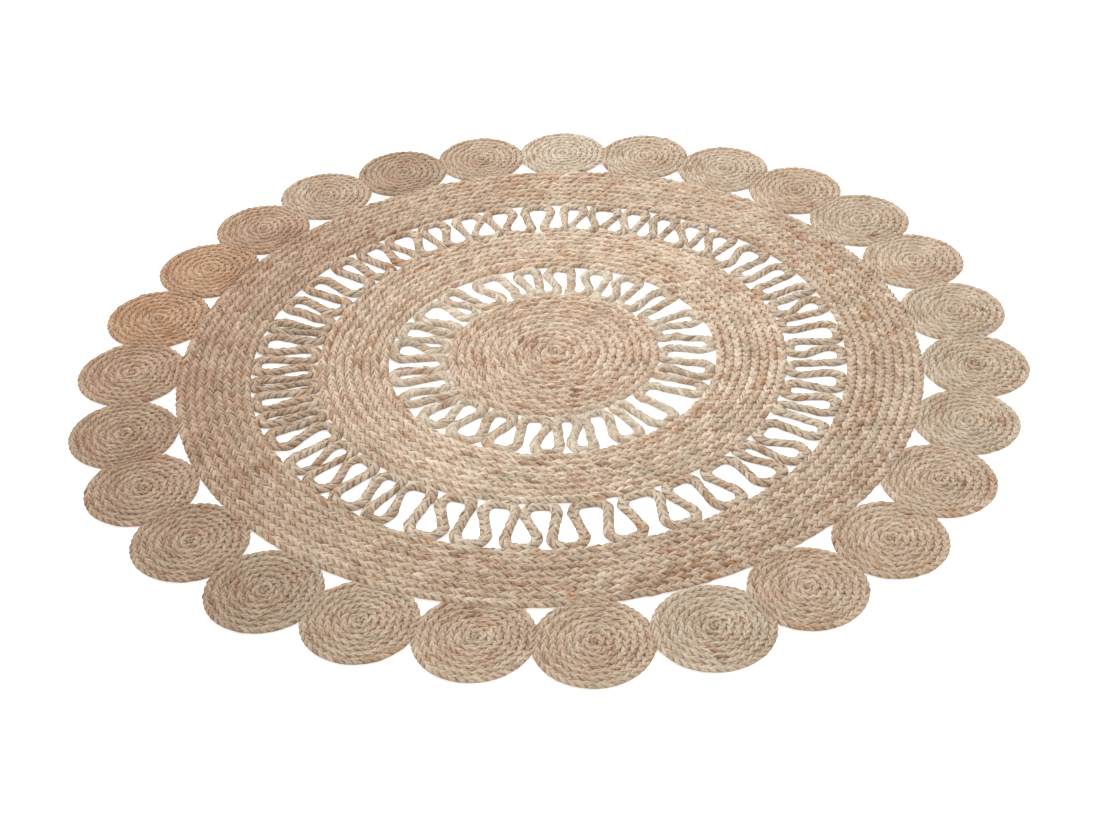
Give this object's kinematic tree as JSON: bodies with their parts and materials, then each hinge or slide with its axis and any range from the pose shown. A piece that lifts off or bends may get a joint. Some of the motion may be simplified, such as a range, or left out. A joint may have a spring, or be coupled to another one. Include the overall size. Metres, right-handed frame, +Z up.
{
  "type": "round braided rug",
  "caption": "Flat round rug of sewn jute plait: coiled centre, rings of looped openwork between wound bands, and a scalloped rim of small coiled roundels.",
  "frame": {"origin": "centre of the wide outer band, on the rug's flat underside where it meets the floor", "axes": "+Z up out of the floor, through the rug's thickness; -Y towards the front of the pictured rug; +X to its right"},
  "size_m": [1.5008, 1.4844, 0.01],
  "materials": {
    "centre_coil_jute": "matt",
    "inner_meander_jute": "matt",
    "middle_band_jute": "matt",
    "outer_meander_jute": "matt",
    "outer_band_jute": "matt",
    "roundel_01_jute": "matt",
    "roundel_02_jute": "matt",
    "roundel_03_jute": "matt",
    "roundel_04_jute": "matt",
    "roundel_05_jute": "matt",
    "roundel_06_jute": "matt",
    "roundel_07_jute": "matt",
    "roundel_08_jute": "matt",
    "roundel_09_jute": "matt",
    "roundel_10_jute": "matt",
    "roundel_11_jute": "matt",
    "roundel_12_jute": "matt",
    "roundel_13_jute": "matt",
    "roundel_14_jute": "matt",
    "roundel_15_jute": "matt",
    "roundel_16_jute": "matt",
    "roundel_17_jute": "matt",
    "roundel_18_jute": "matt",
    "roundel_19_jute": "matt",
    "roundel_20_jute": "matt",
    "roundel_21_jute": "matt",
    "roundel_22_jute": "matt",
    "roundel_23_jute": "matt",
    "roundel_24_jute": "matt",
    "roundel_25_jute": "matt",
    "roundel_26_jute": "matt",
    "roundel_27_jute": "matt"
  },
  "bodies": {
    "root": {"centre_coil": "centre_coil_jute", "inner_meander": "inner_meander_jute", "middle_band": "middle_band_jute", "outer_meander": "outer_meander_jute", "outer_band": "outer_band_jute", "roundel_01": "roundel_01_jute", "roundel_02": "roundel_02_jute", "roundel_03": "roundel_03_jute", "roundel_04": "roundel_04_jute", "roundel_05": "roundel_05_jute", "roundel_06": "roundel_06_jute", "roundel_07": "roundel_07_jute", "roundel_08": "roundel_08_jute", "roundel_09": "roundel_09_jute", "roundel_10": "roundel_10_jute", "roundel_11": "roundel_11_jute", "roundel_12": "roundel_12_jute", "roundel_13": "roundel_13_jute", "roundel_14": "roundel_14_jute", "roundel_15": "roundel_15_jute", "roundel_16": "roundel_16_jute", "roundel_17": "roundel_17_jute", "roundel_18": "roundel_18_jute", "roundel_19": "roundel_19_jute", "roundel_20": "roundel_20_jute", "roundel_21": "roundel_21_jute", "roundel_22": "roundel_22_jute", "roundel_23": "roundel_23_jute", "roundel_24": "roundel_24_jute", "roundel_25": "roundel_25_jute", "roundel_26": "roundel_26_jute", "roundel_27": "roundel_27_jute"}
  },
  "joints": []
}
